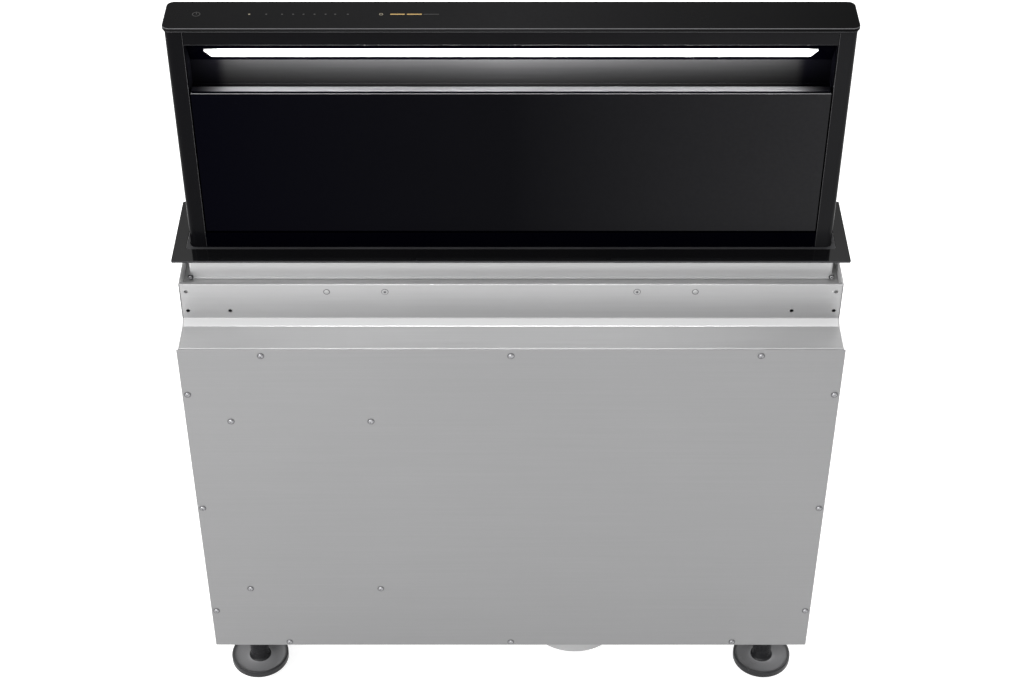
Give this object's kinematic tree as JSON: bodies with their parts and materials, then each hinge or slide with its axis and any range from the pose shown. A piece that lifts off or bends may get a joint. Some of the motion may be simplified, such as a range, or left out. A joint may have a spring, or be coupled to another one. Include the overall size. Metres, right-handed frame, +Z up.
{
  "type": "downdraft vent",
  "caption": "Downdraft extractor vent: a black glass-fronted chimney with a lit suction slot rises out of a flat sheet-steel casing on levelling feet that hangs under a worktop.",
  "frame": {"origin": "on the floor under the feet, midway between the two sides and between the front cover's screw heads and the worktop frame's back edge", "axes": "+Z up along the chimney's travel, the front cover faces -Y, +X to the right seen from the front"},
  "size_m": [0.916, 0.208, 1.125],
  "materials": {
    "black_glass": "glossy black glass",
    "black_steel": "smooth black coat, slight gloss",
    "zinc_steel": "zinc-coated sheet, fine horizontal grain",
    "bright_steel": "ground bright steel",
    "aluminium": "matt aluminium",
    "dark_plastic": "matt moulded plastic",
    "lamp_plastic": "lit opal diffuser",
    "rubber": "matt rubber",
    "motor_grey": "grey coat",
    "board": "circuit board"
  },
  "bodies": {
    "casing": {"worktop_frame": "black_steel", "opening_seal": "rubber", "collar_sleeve": "zinc_steel", "guide_shaft": "zinc_steel", "upper_front_panel": "zinc_steel", "side_panel_right": "zinc_steel", "side_panel_left": "zinc_steel", "back_panel": "zinc_steel", "bottom_panel": "zinc_steel", "front_cover": "zinc_steel", "foot_socket_front_left": "dark_plastic", "foot_socket_front_right": "dark_plastic", "foot_socket_back_left": "dark_plastic", "foot_socket_back_right": "dark_plastic", "spindle_bearing_right": "zinc_steel", "spindle_bearing_left": "zinc_steel", "spindle_drive_right": "motor_grey", "spindle_drive_left": "motor_grey", "guide_rail_right": "zinc_steel", "guide_rail_left": "zinc_steel", "duct_spigot": "zinc_steel", "spigot_plate": "zinc_steel", "damper_pin": "bright_steel", "volute_front": "zinc_steel", "volute_back": "zinc_steel", "fan_motor": "motor_grey", "motor_bracket": "zinc_steel", "electronics_box": "zinc_steel", "control_board": "board", "cable_gland": "dark_plastic"},
    "chimney": {"side_post_right": "black_steel", "side_post_left": "black_steel", "cap_tray": "black_steel", "cap_plate": "black_glass", "fascia": "black_steel", "slot_lining": "black_steel", "lamp_housing": "dark_plastic", "lamp_diffuser": "lamp_plastic", "chimney_back": "black_steel", "lower_front": "black_steel", "filter_frame": "black_steel", "grease_filter_1": "aluminium", "grease_filter_2": "aluminium", "grease_filter_3": "aluminium", "carriage": "zinc_steel", "spindle_nut_right": "dark_plastic", "spindle_nut_left": "dark_plastic"},
    "panel": {"glass_panel": "black_glass", "panel_carrier": "black_steel"},
    "spindle_r": {"spindle_right": "bright_steel"},
    "spindle_l": {"spindle_left": "bright_steel"},
    "fan_wheel": {"impeller": "dark_plastic", "fan_shaft": "bright_steel"},
    "flap_r": {"damper_flap_right": "dark_plastic"},
    "flap_l": {"damper_flap_left": "dark_plastic"},
    "foot_fl": {"foot_front_left": "dark_plastic"},
    "foot_fr": {"foot_front_right": "dark_plastic"},
    "foot_bl": {"foot_back_left": "dark_plastic"},
    "foot_br": {"foot_back_right": "dark_plastic"}
  },
  "joints": [
    {"name": "chimney_lift", "type": "slide", "parent": "casing", "child": "chimney", "axis": [0, 0, 1], "range_m": [-0.338, 0]},
    {"name": "panel_tilt", "type": "hinge", "parent": "chimney", "child": "panel", "pos_m": [0, 0.011, 0.807], "axis": [1, 0, 0], "range_deg": [0, 20]},
    {"name": "spindle_r_turn", "type": "hinge", "parent": "casing", "child": "spindle_r", "pos_m": [0.38, 0.078, 0.5], "axis": [0, 0, 1], "range_deg": [-6090, 6]},
    {"name": "spindle_l_turn", "type": "hinge", "parent": "casing", "child": "spindle_l", "pos_m": [-0.38, 0.078, 0.5], "axis": [0, 0, 1], "range_deg": [-6090, 6]},
    {"name": "fan_spin", "type": "hinge", "parent": "casing", "child": "fan_wheel", "pos_m": [0.01954, -0.007, 0.2245], "axis": [0, 1, 0], "continuous": true},
    {"name": "flap_r_swing", "type": "hinge", "parent": "casing", "child": "flap_r", "pos_m": [0.099, -0.007, 0.125], "axis": [0, 1, 0], "range_deg": [0, 75], "stiffness_Nm_per_rad": 0.02, "springref_deg": -40.11},
    {"name": "flap_l_swing", "type": "hinge", "parent": "casing", "child": "flap_l", "pos_m": [0.099, -0.007, 0.125], "axis": [0, -1, 0], "range_deg": [0, 75], "stiffness_Nm_per_rad": 0.02, "springref_deg": -40.11},
    {"name": "foot_fl_screw", "type": "slide", "parent": "casing", "child": "foot_fl", "axis": [0, 0, 1], "range_m": [-0.025, 0]},
    {"name": "foot_fr_screw", "type": "slide", "parent": "casing", "child": "foot_fr", "axis": [0, 0, 1], "range_m": [-0.025, 0]},
    {"name": "foot_bl_screw", "type": "slide", "parent": "casing", "child": "foot_bl", "axis": [0, 0, 1], "range_m": [-0.025, 0]},
    {"name": "foot_br_screw", "type": "slide", "parent": "casing", "child": "foot_br", "axis": [0, 0, 1], "range_m": [-0.025, 0]}
  ],
  "couplings": [
    {"joint": "spindle_r_turn", "follows": "chimney_lift", "rad_per_m": 314.16},
    {"joint": "spindle_l_turn", "follows": "chimney_lift", "rad_per_m": 314.16}
  ]
}
